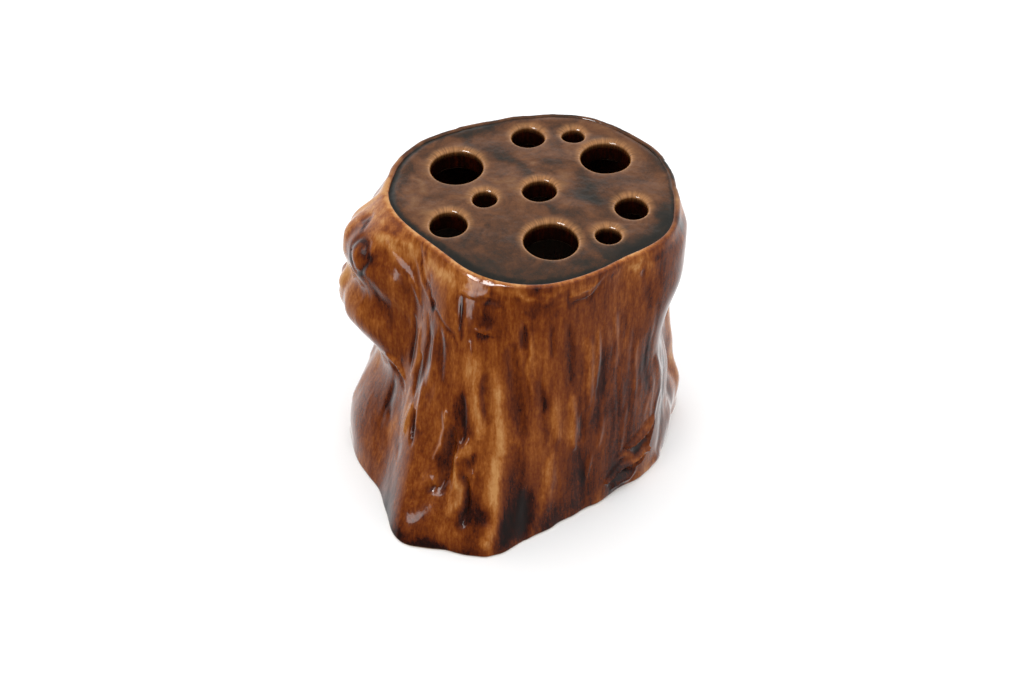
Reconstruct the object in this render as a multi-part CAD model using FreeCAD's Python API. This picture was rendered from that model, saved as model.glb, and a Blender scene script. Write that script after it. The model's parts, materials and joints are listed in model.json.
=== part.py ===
import FreeCAD, Part
import math
import os

# Flower frog: a glazed ceramic tree stump that holds cut stems in holes in its sawn top.
# It is made from three clay pieces that are luted together before firing:
#   trunk_shell  the moulded bark wall, with its knot, root lobes and foot
#   sawn_top     the lid: the sawn face, its raised rim and gutter, pierced with the stem holes
#   floor_disc   the plate that closes the bottom, let into the foot
# Millimetres. +Z is up, z = 0 is the face that the stump stands on, the front is -Y, and the
# origin is the middle of the stump's bounding box in plan. Angles are anticlockwise from +X.

# ---- driving dimensions ----
HEIGHT = 100.0            # foot to the crest of the rim
WALL = 5.0                # thickness of the trunk's wall
LID_THICK = 7.0           # sawn top, from its face to the joint with the trunk
RIM_RISE = 0.8            # the rim stands this far above the sawn face
RIM_WIDTH = 1.6           # width of the raised rim
RIM_ROUND_OUT = 0.8       # rounding of the rim towards the bark
RIM_ROUND_IN = 0.4        # rounding of the rim towards the gutter
GUTTER_WIDTH = 1.4        # narrow channel between the rim and the sawn face
GUTTER_DEPTH = 0.6        # its depth below the face
LIP_ROUND = 1.0           # rounding of each stem hole's upper lip
LIP_ROUND_BELOW = 0.6     # and of its lower edge
FLOOR_THICK = 5.0         # floor disc
FLOOR_RECESS = 1.5        # the floor disc is this far above the foot, so only the ring touches
FLOOR_SEAT = 1.5          # width of the ledge that the floor disc is luted up against
FOOT_ROUND = 1.2          # rounding of the foot's outer edge

# The two outlines of the trunk, as radii at equal steps of angle from +X, about the trunk's
# own axis, and that axis from the origin.
AXIS_X, AXIS_Y = 4.1, 2.6
RIM_RADII = [42.1, 43.2, 42.4, 41.6, 38.9, 38.3, 40.9, 44.0,
             42.2, 37.6, 36.3, 38.4, 39.1, 37.8, 37.9, 42.3]
FOOT_RADII = [46.5, 53.5, 51.0, 47.5, 46.0, 48.0, 49.5, 48.5, 47.0, 48.0, 51.0, 55.5,
              59.0, 58.5, 56.5, 61.6, 60.0, 57.0, 47.8, 42.0, 40.5, 41.0, 43.0, 45.0]
FLARE = 1.6               # how late the trunk spreads to its foot: 1 is a straight cone

# Swellings of the trunk: angle, height, half-width in degrees, reach down, reach up, how far
# it stands out, and the power of its upper slope (1 starts sharply, 2 softly).
SWELLINGS = {
    "cut branch knot": (185, 82, 32, 17, 18, 12.5, 1),
    "shoulder under the knot": (177, 61, 36, 18, 20, 13.5, 2),
    "left root": (186, 18, 26, 24, 16, 2.5, 2),
    "shoulder at the front": (238, 84, 34, 60, 16, 2.5, 1),
    "front root": (231, 5, 12, 20, 30, 2.0, 2),
    "swell under the right rim": (348, 84, 35, 26, 16, 2.0, 1),
    "back root": (110, 12, 24, 20, 40, 3.5, 2),
    "back hollow": (75, 48, 26, 34, 34, -2.0, 2),
}

# Stem holes: name, place from the trunk's axis, and radius of the bore.
STEM_HOLES = {
    "large_left": (-22.1, 14.1, 7.8),
    "large_right": (22.0, 18.7, 7.3),
    "large_front": (5.0, -18.7, 7.7),
    "medium_left": (-23.8, -11.6, 5.4),
    "medium_centre": (2.2, 3.3, 4.9),
    "medium_back": (-0.9, 28.6, 4.9),
    "medium_right": (28.4, -4.4, 4.8),
    "small_left": (-13.7, -0.4, 3.6),
    "small_back": (12.8, 29.3, 3.3),
    "small_right": (21.1, -16.3, 3.6),
}

# ---- derived dimensions ----
FACE_Z = HEIGHT - RIM_RISE
JOINT_Z = FACE_Z - LID_THICK
FLOOR_TOP = FLOOR_RECESS + FLOOR_THICK
SECTION_HEIGHTS = [0, 6, 14, 24, 34, 43, 52, 61, 70, 78, 86, 93, HEIGHT]
CAVITY_HEIGHTS = [FLOOR_TOP, 14, 24, 34, 43, 52, 61, 70, 78, 86, JOINT_Z]
STEPS_AROUND = 48


def smooth_radius(radii, angle):
    """Radius at an angle, on a smooth closed curve through radii at equal steps."""
    count = len(radii)
    place = (angle % 360) / 360 * count
    index = int(place) % count
    t = place - int(place)
    a, b, c, d = (radii[(index + k - 1) % count] for k in range(4))
    curve = 2 * a - 5 * b + 4 * c - d + t * (3 * (b - c) + d - a)
    return b + 0.5 * t * (c - a + t * curve)


def bump(offset, reach, power=2):
    """1 at the middle of a swelling, falling to 0 at its reach."""
    u = offset / reach
    return max(1 - u * u, 0) ** power


def trunk_radius(angle, height):
    """Radius of the bark at an angle and a height."""
    rim = smooth_radius(RIM_RADII, angle)
    foot = smooth_radius(FOOT_RADII, angle)
    radius = rim + (foot - rim) * (1 - height / HEIGHT) ** FLARE
    for at, middle, width, down, up, swell, power in SWELLINGS.values():
        turn = (angle - at + 180) % 360 - 180
        rise = height - middle
        upright = bump(rise, up, power) if rise > 0 else bump(rise, down)
        radius += swell * bump(turn, width) * upright
    return radius


def closed_wire(radius_at, z):
    """A smooth closed curve about the trunk's axis, at a height."""
    points = []
    for step in range(STEPS_AROUND):
        angle = 360 * step / STEPS_AROUND
        radius = radius_at(angle)
        x = AXIS_X + radius * math.cos(math.radians(angle))
        y = AXIS_Y + radius * math.sin(math.radians(angle))
        points.append(FreeCAD.Vector(x, y, z))
    curve = Part.BSplineCurve()
    spacing = [step / STEPS_AROUND for step in range(STEPS_AROUND + 1)]
    curve.interpolate(Points=points, PeriodicFlag=True, Parameters=spacing)
    return Part.Wire([curve.toShape()])


def loft(radius_at, heights):
    """A solid through one closed curve at each height; radius_at takes an angle and a height."""
    wires = [closed_wire(lambda angle: radius_at(angle, z), z) for z in heights]
    return Part.makeLoft(wires, True, False)


def plate(radius_at, bottom, top):
    """A flat solid with straight sides."""
    face = Part.Face(closed_wire(radius_at, bottom))
    return face.extrude(FreeCAD.Vector(0, 0, top - bottom))


def flat_edges(shape, z):
    """The edges of a shape that lie at one height."""
    near = 0.001
    return [e for e in shape.Edges if abs(e.BoundBox.ZMin - z) < near and abs(e.BoundBox.ZMax - z) < near]


def inside_rim(angle):
    """Outline of the hollow that the raised rim leaves round the sawn face."""
    return trunk_radius(angle, HEIGHT) - RIM_WIDTH


def face_outline(angle):
    """Outline of the sawn face, inside its gutter."""
    return inside_rim(angle) - GUTTER_WIDTH


def cavity(angle, height):
    """Outline of the hollow inside the trunk."""
    return trunk_radius(angle, height) - WALL


def floor_outline(angle):
    """Outline of the floor disc, and of the recess that holds it."""
    return cavity(angle, FLOOR_TOP) + FLOOR_SEAT


def make_stump():
    """The whole outside of the stump as one solid, before it is divided at the joint."""
    stump = loft(trunk_radius, SECTION_HEIGHTS)
    stump = stump.makeFillet(RIM_ROUND_OUT, flat_edges(stump, HEIGHT))
    return stump.makeFillet(FOOT_ROUND, flat_edges(stump, 0))


def half_space(bottom, top):
    """A block that reaches past the stump on every side, between two heights."""
    side = 4 * HEIGHT
    return Part.makeBox(side, side, top - bottom, FreeCAD.Vector(-side / 2, -side / 2, bottom))


def make_trunk_shell(stump):
    trunk = stump.common(half_space(-1, JOINT_Z))
    trunk = trunk.cut(loft(cavity, CAVITY_HEIGHTS))
    return trunk.cut(plate(floor_outline, -1, FLOOR_TOP)).Solids[0]


def circles(shape, z):
    """The edges of the stem holes at one height."""
    return [e for e in flat_edges(shape, z) if isinstance(e.Curve, Part.Circle)]


def make_sawn_top(stump):
    lid = stump.common(half_space(JOINT_Z, HEIGHT + 1))
    lid = lid.cut(plate(inside_rim, FACE_Z, HEIGHT + 1))
    gutter = plate(inside_rim, FACE_Z - GUTTER_DEPTH, FACE_Z)
    lid = lid.cut(gutter.cut(plate(face_outline, FACE_Z - GUTTER_DEPTH, FACE_Z)))
    rim_edge = min(flat_edges(lid, HEIGHT), key=lambda edge: edge.BoundBox.XLength)
    lid = lid.makeFillet(RIM_ROUND_IN, [rim_edge])
    for x, y, radius in STEM_HOLES.values():
        start = FreeCAD.Vector(AXIS_X + x, AXIS_Y + y, JOINT_Z - 1)
        lid = lid.cut(Part.makeCylinder(radius, LID_THICK + 2, start))
    lid = lid.makeFillet(LIP_ROUND, circles(lid, FACE_Z))
    return lid.makeFillet(LIP_ROUND_BELOW, circles(lid, JOINT_Z)).Solids[0]


def make_floor_disc():
    return plate(floor_outline, FLOOR_RECESS, FLOOR_TOP)


os.makedirs("parts", exist_ok=True)
whole_stump = make_stump()
pieces = {
    "trunk_shell": make_trunk_shell(whole_stump),
    "sawn_top": make_sawn_top(whole_stump),
    "floor_disc": make_floor_disc(),
}
for name, shape in pieces.items():
    print(name, shape.isValid(), len(shape.Solids), len(shape.Faces), round(shape.Volume), shape.BoundBox)
    shape.exportStep(f"parts/{name}.step")
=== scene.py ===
import json
import math

import bpy
import numpy as np
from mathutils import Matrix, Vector
from mathutils.bvhtree import BVHTree
from mathutils.geometry import delaunay_2d_cdt


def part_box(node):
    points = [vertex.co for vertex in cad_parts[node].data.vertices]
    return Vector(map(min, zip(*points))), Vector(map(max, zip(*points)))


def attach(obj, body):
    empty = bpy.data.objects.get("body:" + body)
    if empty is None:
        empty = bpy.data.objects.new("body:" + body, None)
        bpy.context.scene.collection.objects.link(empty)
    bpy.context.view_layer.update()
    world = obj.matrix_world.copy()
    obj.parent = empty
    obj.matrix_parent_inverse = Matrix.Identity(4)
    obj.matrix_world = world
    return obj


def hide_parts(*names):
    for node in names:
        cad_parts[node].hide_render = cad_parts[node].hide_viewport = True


# The looks of a glazed ceramic flower frog, shaped like a cut tree stump, round its CAD frame.
# Lengths are in millimetres and angles in degrees, anticlockwise from +X about the trunk's axis.
# A place on the bark is (angle, height). Meshes are written in metres, and so are the stage's sizes.

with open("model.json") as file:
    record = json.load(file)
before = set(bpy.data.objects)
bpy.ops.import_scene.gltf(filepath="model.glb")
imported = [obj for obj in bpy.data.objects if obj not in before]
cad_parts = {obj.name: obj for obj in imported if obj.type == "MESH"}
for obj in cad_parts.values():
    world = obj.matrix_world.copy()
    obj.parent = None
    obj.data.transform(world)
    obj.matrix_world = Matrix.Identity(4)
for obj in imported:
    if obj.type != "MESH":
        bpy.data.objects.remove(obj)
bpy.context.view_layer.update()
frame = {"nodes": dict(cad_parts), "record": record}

MM = 0.001
AXIS = np.array([4.1, 2.6])                       # the trunk's own axis, from the origin
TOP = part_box("sawn_top")[1].z / MM                # crest of the rim
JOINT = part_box("trunk_shell")[1].z / MM           # where the sawn top is luted to the trunk
FLOOR_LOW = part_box("floor_disc")[0].z / MM
FLOOR_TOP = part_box("floor_disc")[1].z / MM
RIM_RISE = 0.8                                    # the rim stands this far above the face
FACE = TOP - RIM_RISE                             # the sawn face
RIM_WIDTH = 1.6
RIM_ROUND = 0.8                                   # rounding of the rim towards the bark
RIM_WORN = 0.5                                    # how much broader it is where it is worn flat
RIM_WORN_AT, RIM_WORN_REACH = 248.5, 7            # the worn stretch: its middle and half-width
FOOT_ROUND = 1.2
WALL_THICK = 5.0
FLOOR_SEAT = 1.5                                  # width of the ledge over the floor disc
LIP = 1.0                                         # rounding of the stem holes' lips
LIP_BELOW = 0.6                                   # rounding of their lower edges
GUTTER_REACH = 1.4                                # the gutter's rows end this far inside the rim
LIP_SPACING = 0.62                                # between the points of a stem hole's rows
FACE_SPACING = 0.78                               # between the points of the face
UNDERSIDE_SPACING = 2.4
SHARP_ANGLE = 50                                  # edges sharper than this stay crisp

# Stretches of the lid's edge, by the angle of their middles.
RIM_PALE_AT = 236                                 # the rim's glaze is thinnest
GUTTER_DEEP_AT = 238                              # the gutter is deepest, and darkest with pooled glaze and painted shade
BARK_GLAZE_AT = 254                               # the bark's glaze covers the rim
SHADED_DISH_AT = 337                                     # a shallow dish spreads from the gutter, darker with pooled glaze and painted shade

# The glaze's tone runs from 0, thick and dark, to 1, thin and pale. In some places it also holds painted
# light and shade, as noted there.
BARK_TONE = 0.48
FACE_TONE = 0.53
DARK_SHARE = 0.85                                 # how much of a groove's dark tone shows
TONE_SPREAD = 1.4                                 # how much wider a stroke's tone is than its relief
RELIEF_SHARE = 1.3                                # how deep the strokes are cut

# The bark is worked out on a grid of columns round the trunk and rows up it.
COLUMNS = 512
TYPICAL_RADIUS = 47.0
COLUMN_STEP = 2 * math.pi * TYPICAL_RADIUS / COLUMNS
MM_PER_DEGREE = 2 * math.pi * TYPICAL_RADIUS / 360
ROW_COUNT = 151
ANGLES = np.arange(COLUMNS) * 360 / COLUMNS
HEIGHTS = np.linspace(0, TOP, ROW_COUNT)
ROW_STEP = HEIGHTS[1]
ANGLE_GRID, HEIGHT_GRID = np.meshgrid(ANGLES, HEIGHTS)

# Layers of random grain: seed, size around, size up, strength.
DRIFT_AROUND = [(1, 3.0, 6.0, 0.55), (2, 1.4, 3.0, 0.3)]
DRIFT_UP = [(3, 3.0, 6.0, 0.9)]
RELIEF_GRAIN = [(4, 3.2, 16.0, 0.16), (5, 1.8, 9.0, 0.04), (11, 2.5, 2.5, 0.03)]
TONE_GRAIN = [(4, 3.2, 16.0, 0.045), (6, 1.8, 10.0, 0.03), (8, 5.0, 7.0, 0.05)]
RAGGED_AROUND = [(12, 1.1, 3.0, 0.8)]
RAGGED_UP = [(13, 1.3, 4.0, 1.6)]
RIM_GRAIN = [(22, 2.2, 0.6, 0.20), (23, 0.7, 0.9, 0.22)]

# Strokes that shape and colour the bark, as (width, relief, tone, path). Relief is outwards, and
# a positive tone is paler.
FRONT_STROKES = [
    # under the rim, left of the front
    # a paler band with no relief: painted light on the upper wall, which tilts up towards the front-left
    # light
    (5.0, 0.0, 0.26, [(184, 96), (200, 93), (216, 94), (232, 96), (246, 97)]),
    (2.0, 0.25, 0.14, [(190, 99), (200, 93), (209, 86), (215, 78)]),
    (1.6, 0.2, 0.14, [(203, 98), (210, 93), (216, 87), (222, 84)]),
    (1.4, -0.15, -0.14, [(196, 98), (206, 90), (213, 84)]),
    (1.2, -0.25, -0.30, [(213, 94), (217, 91), (220, 88)]),
    (1.1, -0.25, -0.30, [(220, 90), (223, 86), (226, 82)]),
    (1.9, -0.35, -0.42, [(225, 84.5), (226.5, 81.5)]),
    (0.9, -0.2, -0.26, [(226, 82.5), (232, 80), (240, 78)]),
    (1.2, -0.12, -0.16, [(212, 92), (216, 92.5)]),
    (1.0, -0.12, -0.16, [(221, 93), (222, 90)]),
    # the cut branch knot
    (1.3, -0.5, -0.55, [
        (187.5, 87), (189, 91.5), (192.5, 91), (194.5, 86),
        (193.5, 81), (190, 79.5), (187.5, 83), (187.5, 87)]),
    (2.6, 0.45, 0.16, [(190, 89), (191, 83)]),
    (1.0, 0.0, -0.20, [(191.5, 89), (192, 84)]),
    (2.4, -0.2, -0.24, [(196, 90), (197, 83)]),
    (1.3, -0.5, -0.55, [(182.5, 93), (184.5, 98), (187, 93)]),
    (3.4, -0.35, -0.30, [(195, 80), (199, 71), (202, 63)]),
    (3.0, 0.2, 0.16, [(204, 83), (206, 75), (209, 68)]),
    (3.0, -0.15, -0.10, [(207, 84), (213, 76), (215, 70)]),
    # flutes below the knot
    (1.8, -0.45, -0.34, [(212, 71), (213, 63), (213, 55)]),
    (1.5, 0.3, 0.18, [(216.5, 70), (217, 60), (215, 52)]),
    (2.6, -0.35, -0.22, [(222, 78), (225, 70), (224, 60), (221, 50)]),
    (2.4, -0.35, -0.26, [(231, 76), (232, 68), (233, 60)]),
    (1.9, 0.35, 0.20, [(228, 72), (228, 62), (226, 52)]),
    (1.8, 0.8, 0.20, [(200, 51), (205, 49), (210, 47)]),
    (2.2, -0.5, -0.16, [(200, 47), (206, 45), (211, 43)]),
    (1.6, -0.6, -0.38, [(219.5, 62), (219, 55), (219.5, 47)]),
    (1.3, -0.9, -0.58, [(221.5, 43), (222.5, 37), (223.5, 30)]),
    (1.3, 0.7, 0.34, [(219.5, 44), (219, 38), (217.5, 31)]),
    (1.8, 0.45, 0.22, [(224.5, 54), (225, 46), (225, 38)]),
    (2.8, -0.3, -0.26, [(202, 40), (203, 32), (206, 27)]),
    (3.0, 0.0, 0.12, [(209, 38), (211, 26), (213, 16)]),
    (2.4, -0.2, -0.16, [(214, 30), (217, 20)]),
    # the front flutes
    (2.4, -0.6, -0.42, [(243, 58), (243.5, 50), (244.5, 41)]),
    (2.8, 0.7, 0.30, [(245.5, 78), (248, 66), (249.5, 55), (250, 44)]),
    (2.2, -0.4, -0.34, [(252, 70), (252.5, 60), (253, 50)]),
    (1.9, 0.4, 0.26, [(255.5, 70), (256.5, 58), (258, 46), (259, 38)]),
    (4.2, -0.6, -0.34, [(262, 78), (263.5, 68), (264.5, 56), (265, 44)]),
    (1.3, -0.5, -0.42, [(266.5, 87), (266.5, 77)]),
    (1.0, 0.3, 0.26, [(269, 84), (269.5, 72), (270, 60)]),
    (1.8, -0.25, -0.26, [(273, 66), (274, 50), (275, 38)]),
    (2.8, 0.4, 0.24, [(277.5, 58), (280, 48), (282, 38)]),
    (1.6, -0.25, -0.22, [(277.5, 84), (278, 74)]),
    (2.4, -0.3, -0.26, [(285.5, 84), (286.5, 72), (286, 60)]),
    (2.2, 0.4, 0.26, [(288, 54), (289, 42), (290, 32)]),
    (2.0, -0.3, -0.26, [(293, 46), (294, 34)]),
    (2.6, 0.35, 0.26, [(295, 76), (296, 62), (296, 48)]),
    (2.6, -0.2, -0.30, [(302, 74), (303, 60), (303.5, 46)]),
    (1.2, 0.3, 0.22, [(299, 78), (300, 66), (300, 54)]),
    (1.4, 0.1, 0.16, [(308, 82), (309, 70), (310, 60)]),
    (1.4, -0.1, -0.16, [(313, 82), (314, 70)]),
    (1.8, -0.1, -0.14, [(311, 60), (312, 46), (313, 34)]),
    (1.6, 0.15, 0.20, [(320, 64), (321, 52), (321, 42)]),
    (3.2, -0.15, -0.26, [(326, 66), (328, 54), (329, 40)]),
    (2.4, -0.1, -0.20, [(320, 95), (323, 88), (325, 80)]),
    # the front lower lobes
    (1.7, 0.8, 0.24, [(236.5, 50), (238, 44), (237, 38), (234.5, 31)]),
    (2.8, -1.3, -0.34, [(240, 45), (240.5, 36), (239.5, 28), (238, 21)]),
    (4.0, -0.45, -0.12, [(238, 24), (234, 16), (231, 9)]),
    (1.6, 0.9, 0.40, [(243, 36), (243.5, 30), (243, 22), (242, 14)]),
    (2.0, 0.5, 0.26, [(247, 43), (244.5, 38), (243.5, 33)]),
    (2.2, -1.3, -0.50, [(246.5, 29), (247, 21), (247.5, 12)]),
    (1.7, -0.7, -0.40, [(247.5, 37), (248.5, 31)]),
    (3.2, -0.5, -0.30, [(251, 20), (254, 18), (256, 13)]),
    (3.4, 0.2, 0.0, [(252, 40), (253, 30), (253, 24)]),
    (2.2, 0.9, 0.34, [(259, 36), (258, 25), (257, 14), (255.5, 2)]),
    (4.0, -0.5, -0.30, [(263, 40), (264, 28), (263, 14), (261, 2)]),
    (3.4, -0.7, -0.24, [(268, 22), (268, 12), (268, 2)]),
    (4.2, 0.5, 0.30, [(279, 32), (278, 20), (276, 9)]),
    (6.0, -0.4, -0.26, [(291, 30), (294, 18), (294, 4)]),
    (1.6, 0.3, 0.14, [(298, 26), (296, 16)]),
    (2.0, 0.2, 0.12, [(304, 40), (302, 28)]),
    (1.6, -1.1, -0.30, [(235, 21.5), (236, 20)]),
    (1.8, 0.3, 0.06, [(234.5, 24), (237.5, 23)]),
    (1.6, -0.2, -0.16, [(243, 24), (246, 23)]),
    # the folds at the lower right
    (1.9, 1.3, 0.20, [(318, 20), (324, 22), (330, 22.5), (335, 25)]),
    (1.7, -1.3, -0.40, [(322, 18.5), (327, 17.5), (332, 18)]),
    (3.0, 0.3, 0.34, [(314, 17), (320, 16), (326, 14)]),
    (1.8, 1.3, 0.14, [(307, 8), (314, 11), (322, 13), (331, 14)]),
    (2.2, -1.0, -0.30, [(310, 5), (318, 7), (327, 9)]),
    (2.0, 1.0, 0.04, [(312, 1), (322, 6), (330, 13), (336, 23)]),
    (2.8, 0.5, 0.0, [(336, 25), (338, 34), (337, 44), (334, 54)]),
    (3.4, -0.3, -0.22, [(344, 50), (345, 34), (344, 16), (342, 3)]),
    (3.6, 0.4, 0.05, [(350, 58), (352, 40), (351, 20)]),
    (4.0, -0.4, -0.24, [(357, 60), (359, 40), (358, 18), (357, 3)]),
    # the collar under the rim, at the front
    (1.2, 0.35, 0.10, [(240, 93.5), (247, 94), (256, 93.4)]),
    (1.2, -0.35, -0.42, [(250, 92.6), (258, 92.2)]),
    (3.0, -0.2, -0.08, [(262, 94), (270, 92.5), (280, 92)]),
    (1.6, 0.25, 0.30, [(260, 98), (270, 97.5), (280, 97.5)]),
    (1.0, -0.2, -0.50, [(241.2, 92), (241.4, 86), (240.9, 81)]),
    (3.6, 0.05, 0.04, [(245.8, 91), (245.6, 86), (245.2, 82)]),
    (1.0, -0.4, -0.40, [(247.5, 82.2), (251, 81.2), (254, 81.6)]),
    (1.0, 0.35, 0.10, [(247.5, 83.6), (251, 83), (256, 85.5)]),
    (3.0, -0.15, -0.26, [(252, 90), (253, 84)]),
    (1.0, 0.4, 0.22, [(286, 94.5), (290, 97), (300, 97), (312, 96.4), (325, 96)]),
    (1.2, -0.35, -0.24, [(284, 95), (287, 92.5), (293, 92.3), (300, 94.5)]),
    (1.4, -0.3, -0.25, [(321, 93), (322.5, 91)]),
]
# Soft patches of the glaze, and soft swellings and hollows of the bark, as angle, height,
# half-width in degrees, half-height, relief and tone.
PATCHES = [
    (210, 82, 20, 20, 0.0, -0.09),
    (200, 70, 12, 14, 0.0, 0.02),
    (218, 55, 22, 22, 0.0, 0.02),
    (236, 70, 12, 16, 0.0, 0.04),
    (260, 62, 18, 34, 0.0, 0.16),
    (300, 62, 24, 28, 0.0, -0.02),
    # darker on the right: partly the glaze, partly painted shade of the side turned away from the
    # front-left light
    (332, 70, 22, 34, 0.0, -0.10),
    (268, 16, 8, 20, 0.0, -0.12),
    (296, 16, 12, 18, 0.0, -0.15),
    (314, 13, 9, 13, 0.0, -0.24),
    (284, 6, 9, 8, 0.0, -0.16),
    (300, 46, 7, 12, 0.0, -0.12),
    (318, 44, 8, 14, 0.0, -0.12),
    (332, 30, 20, 24, 0.0, -0.15),
    (252, 16, 8, 9, 0.0, -0.12),
    (257, 22, 2.5, 24, 0.0, 0.28),
    (190, 30, 14, 30, 0.0, -0.04),
    (188, 88, 10, 12, 0.0, -0.16),
    (191, 85, 2.5, 5, 0.0, 0.12),
    (254, 88, 9, 8, 0.0, -0.05),
    (180, 72, 16, 7, -2.0, 0.0),
    (170, 67, 9, 4, 0.9, 0.0),
    (178, 61, 11, 5, -1.7, 0.0),
    (182, 55, 7, 3.5, 0.3, 0.0),
    (181, 83, 10, 4, -0.9, 0.0),
    (172, 99, 14, 8, -2.4, 0.0),
    (162, 99, 7, 5, 1.9, 0.0),
    (176, 30, 14, 5, -0.3, 0.0),
    (179, 14, 14, 6, 0.4, 0.0),
    (190, 38, 12, 12, -1.1, 0.0),
    (354, 58, 15, 13, -3.2, 0.0),
    (352, 95, 14, 8, 1.5, 0.0),
    (354, 9, 8, 8, 1.9, 0.0),
    (345, 80, 12, 9, 0.8, 0.0),
    (9, 42, 12, 16, -2.0, 0.0),
    (9, 23, 12, 8, -1.7, 0.0),
    (4, 16, 10, 9, 1.5, 0.0),
    (357, 1, 6, 5, -0.8, 0.0),
    (342, 0, 6, 4, 1.1, 0.0),
    (277, 0, 5, 5, 0.8, 0.0),
    (260, 0, 5, 12, 1.4, 0.0),
    (246, 0, 5, 9, -0.4, 0.0),
    # a shallow hollow along the foot at the front left, darkened with painted shade where the foot curves
    # under
    (243, 0.6, 11, 4.0, -0.8, -0.80),
    (270, 0, 5, 8, 1.1, 0.0),
    (231, 0, 5, 8, 0.8, 0.0),
]

# Clouds of thicker glaze on the sawn face, and two broad ones that are painted reflection: x, y from the
# trunk's axis, half-width, half-depth, turn, tone.
CLOUDS = [
    (15.5, 7, 4.0, 6.5, 20, -0.32), (17, -1, 5.5, 3.5, -25, -0.27), (8, -5, 6, 2.6, -15, -0.20),
    (-7, 17, 2.6, 6.5, 25, -0.27), (-2.5, 12, 2.2, 5.0, 35, -0.20), (5, 17, 5.5, 2.2, 8, -0.20),
    (-27, -1.5, 5.0, 2.5, 10, -0.16), (-15, -15, 8, 5, -30, -0.14), (-19, -25, 8, 4, -35, -0.16),
    (29, -21, 9, 4.5, 38, -0.30), (36, -9, 3.5, 9, -10, -0.24), (-17, 33, 9, 3, 14, -0.27),
    (-30, 24, 7, 3.5, 42, -0.19), (-38, 8, 2.5, 9, 8, -0.24), (24, 5, 5, 5, 0, -0.11),
    (0, 16, 3, 2, 0, 0.12), (9, 9, 4.0, 4.0, 0, 0.18), (11, -2, 3.5, 2.5, 0, 0.18),
    (5, 38, 14, 4, 0, 0.02), (-10, 30, 6, 4, 0, 0.08), (-33, 12, 5, 7, 0, 0.04),
    (-30, -12, 5, 6, 0, 0.10), (20, -30, 8, 3, 0, 0.04), (33, 20, 5, 8, 0, 0.02),
    # the last two, broad and dark: painted reflection, which makes the front of the face darker than its
    # back, where more of the bright backdrop is mirrored
    (-8, -29, 9, 4, -10, 0.04), (-5, 3, 5, 4, 0, 0.06), (0, -34, 42, 15, 0, -0.27),
    (0, 34, 36, 12, 0, -0.07),
]


# ---- fields over the bark ----
def blur(field, around, up):
    """A field over the bark, blurred by a Gaussian of these sizes."""
    pad = 40
    tall = np.pad(field, ((pad, pad), (0, 0)), mode="reflect", reflect_type="odd")
    turns_up = np.fft.fftfreq(tall.shape[0], ROW_STEP)[:, None]
    turns_around = np.fft.rfftfreq(COLUMNS, COLUMN_STEP)[None, :]
    gain = np.exp(-2 * np.pi ** 2 * ((turns_up * up) ** 2 + (turns_around * around) ** 2))
    return np.fft.irfft2(np.fft.rfft2(tall) * gain, s=tall.shape)[pad:-pad]


def grain(layers):
    """The sum of random fields, each with features of its own size and a strength."""
    total = np.zeros((ROW_COUNT, COLUMNS))
    for seed, around, up, strength in layers:
        noise = np.random.default_rng(seed).standard_normal((ROW_COUNT, COLUMNS))
        field = blur(noise, around, up)
        total += strength * (field - field.mean()) / field.std()
    return total


def turn_between(angle, other):
    """Signed difference of two angles, from -180 to 180."""
    return (angle - other + 180) % 360 - 180


def stroke(path, width, angles, heights):
    """How strongly a stroke acts: 1 on its line, fading aside and thinning to its ends."""
    xs = [turn_between(angle, path[0][0]) * MM_PER_DEGREE for angle, _ in path]
    zs = [height for _, height in path]
    x = turn_between(angles, path[0][0]) * MM_PER_DEGREE
    nearest = np.full(x.shape, np.inf)
    along = np.zeros(x.shape)
    done = 0.0
    for i in range(len(path) - 1):
        length = math.hypot(xs[i + 1] - xs[i], zs[i + 1] - zs[i])
        dx, dz = (xs[i + 1] - xs[i]) / length, (zs[i + 1] - zs[i]) / length
        t = np.clip((x - xs[i]) * dx + (heights - zs[i]) * dz, 0, length)
        distance = np.hypot(x - xs[i] - t * dx, heights - zs[i] - t * dz)
        closer = distance < nearest
        nearest = np.where(closer, distance, nearest)
        along = np.where(closer, done + t, along)
        done += length
    taper = 0.45 + 0.55 * np.sqrt(np.sin(np.pi * np.clip(along / done, 0.001, 0.999)))
    return np.exp(-(nearest / (width * taper * 0.62)) ** 2) * taper


def leaning_path(angle, height, length, lean, bend):
    """A path upwards that leans by an angle, and has leant by a share of it half-way."""
    half_way = (angle + bend * lean, height + 0.5 * length)
    return [(angle, height), half_way, (angle + lean, height + length)]


def back_strokes():
    """Flutes like the front's, strewn by a fixed seed over the part of the bark behind them."""
    random = np.random.default_rng(41)
    strokes = []
    for angle in np.arange(5, 182, 3.6):
        height = random.uniform(4, 16)
        while height < 88:
            length = random.uniform(14, 40)
            lean = random.uniform(-4, 4)
            start = angle + random.uniform(-2.2, 2.2)
            path = leaning_path(start, height, length, lean, 0.6)
            side = 1 if random.random() < 0.5 else -1
            relief = side * random.uniform(0.25, 0.8)
            tone = relief * random.uniform(0.25, 0.5)
            strokes.append((random.uniform(1.8, 4.2), relief, tone, path))
            height += length * random.uniform(0.7, 1.2)
    return strokes


def between_strokes():
    """Fainter flutes between the front's own."""
    random = np.random.default_rng(7)
    strokes = []
    for angle in np.arange(184, 354, 2.4):
        length = random.uniform(9, 26)
        height = random.uniform(6, 84 - length)
        start = angle + random.uniform(-1.5, 1.5)
        lean = random.uniform(-2.5, 2.5)
        side = 1 if random.random() < 0.5 else -1
        path = leaning_path(start, height, length, lean, 0.4)
        width = random.uniform(0.9, 2.2)
        relief = side * random.uniform(0.04, 0.14)
        tone = side * random.uniform(0.05, 0.15)
        strokes.append((width, relief, tone, path))
    return strokes


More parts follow.
